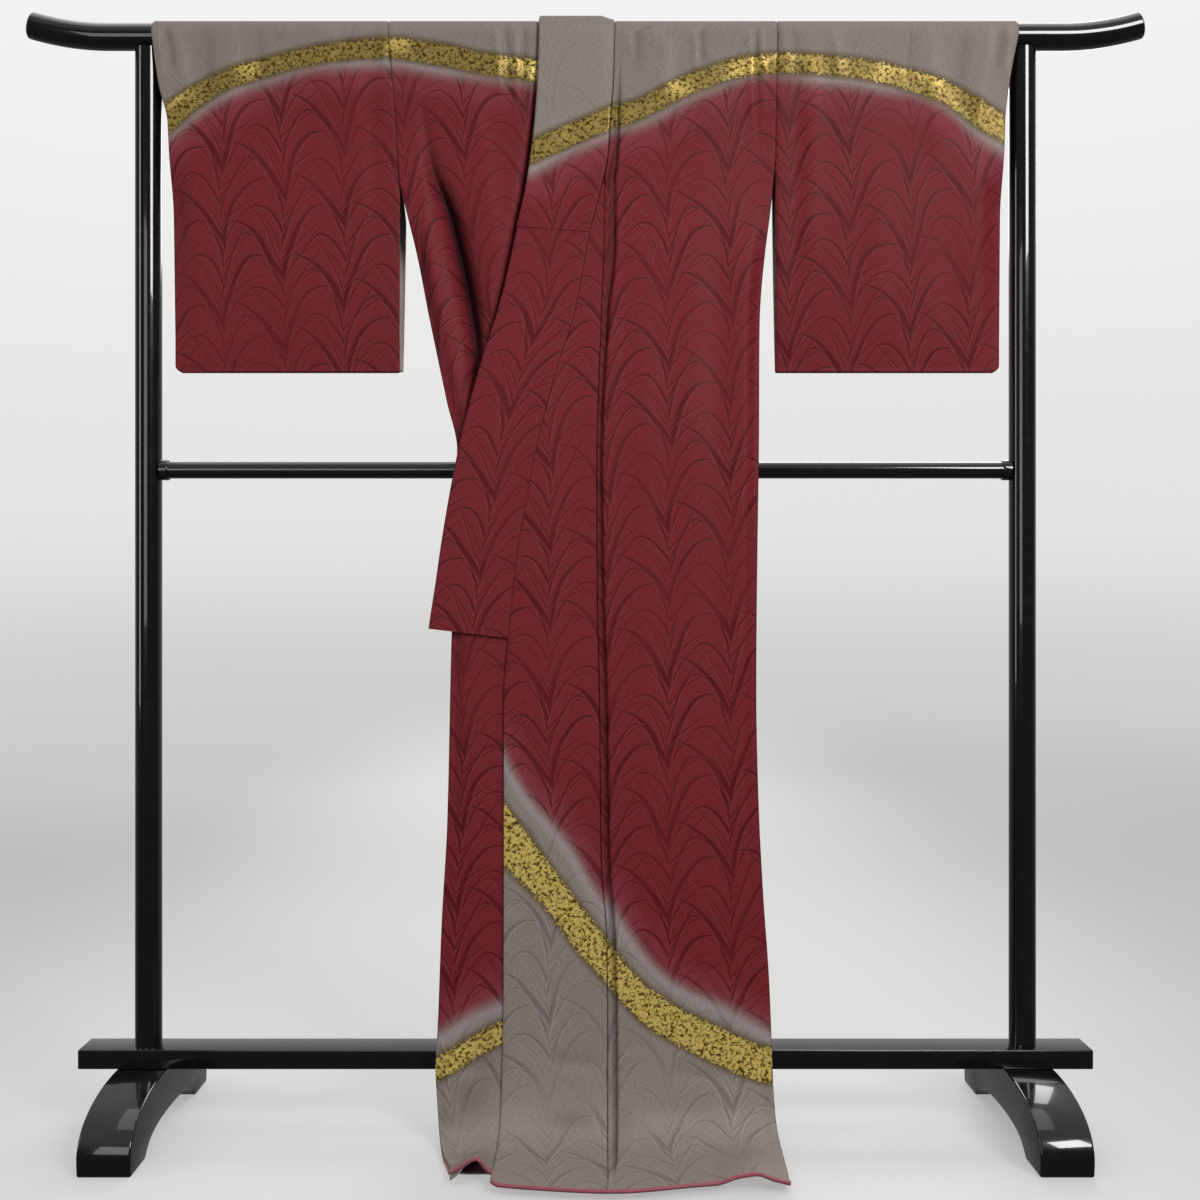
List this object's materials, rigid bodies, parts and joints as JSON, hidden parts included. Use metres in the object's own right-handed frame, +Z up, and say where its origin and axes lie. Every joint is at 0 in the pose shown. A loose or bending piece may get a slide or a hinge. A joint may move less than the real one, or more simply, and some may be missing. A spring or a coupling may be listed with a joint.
{
  "type": "kimono on a kimono stand",
  "caption": "Women's silk kimono in burgundy and taupe with a gold band, hung open over a black lacquered kimono stand.",
  "frame": {"origin": "on the floor, under the middle of the whole part", "axes": "+Z up, +X to the viewer's right along the top bar, -Y towards the viewer, where the front of the kimono faces"},
  "size_m": [1.6146, 0.4639, 1.6114],
  "materials": {
    "silk": "figured silk crepe with a soft sheen, dyed burgundy and taupe, with a band of gold leaf flakes",
    "lining": "plain silk",
    "lacquer": "high gloss black lacquer"
  },
  "bodies": {
    "root": {"body_right": "silk", "body_left": "silk", "okumi_right": "silk", "okumi_left": "silk", "collar_right": "silk", "over_collar_right": "silk", "collar_left": "silk", "over_collar_left": "silk", "sleeve_right": "silk", "sleeve_left": "silk", "hem_roll_right": "lining", "hem_roll_left": "lining", "top_bar": "lacquer", "post_right": "lacquer", "post_left": "lacquer", "rail": "lacquer", "beam": "lacquer", "foot_right": "lacquer", "foot_left": "lacquer"}
  },
  "joints": []
}
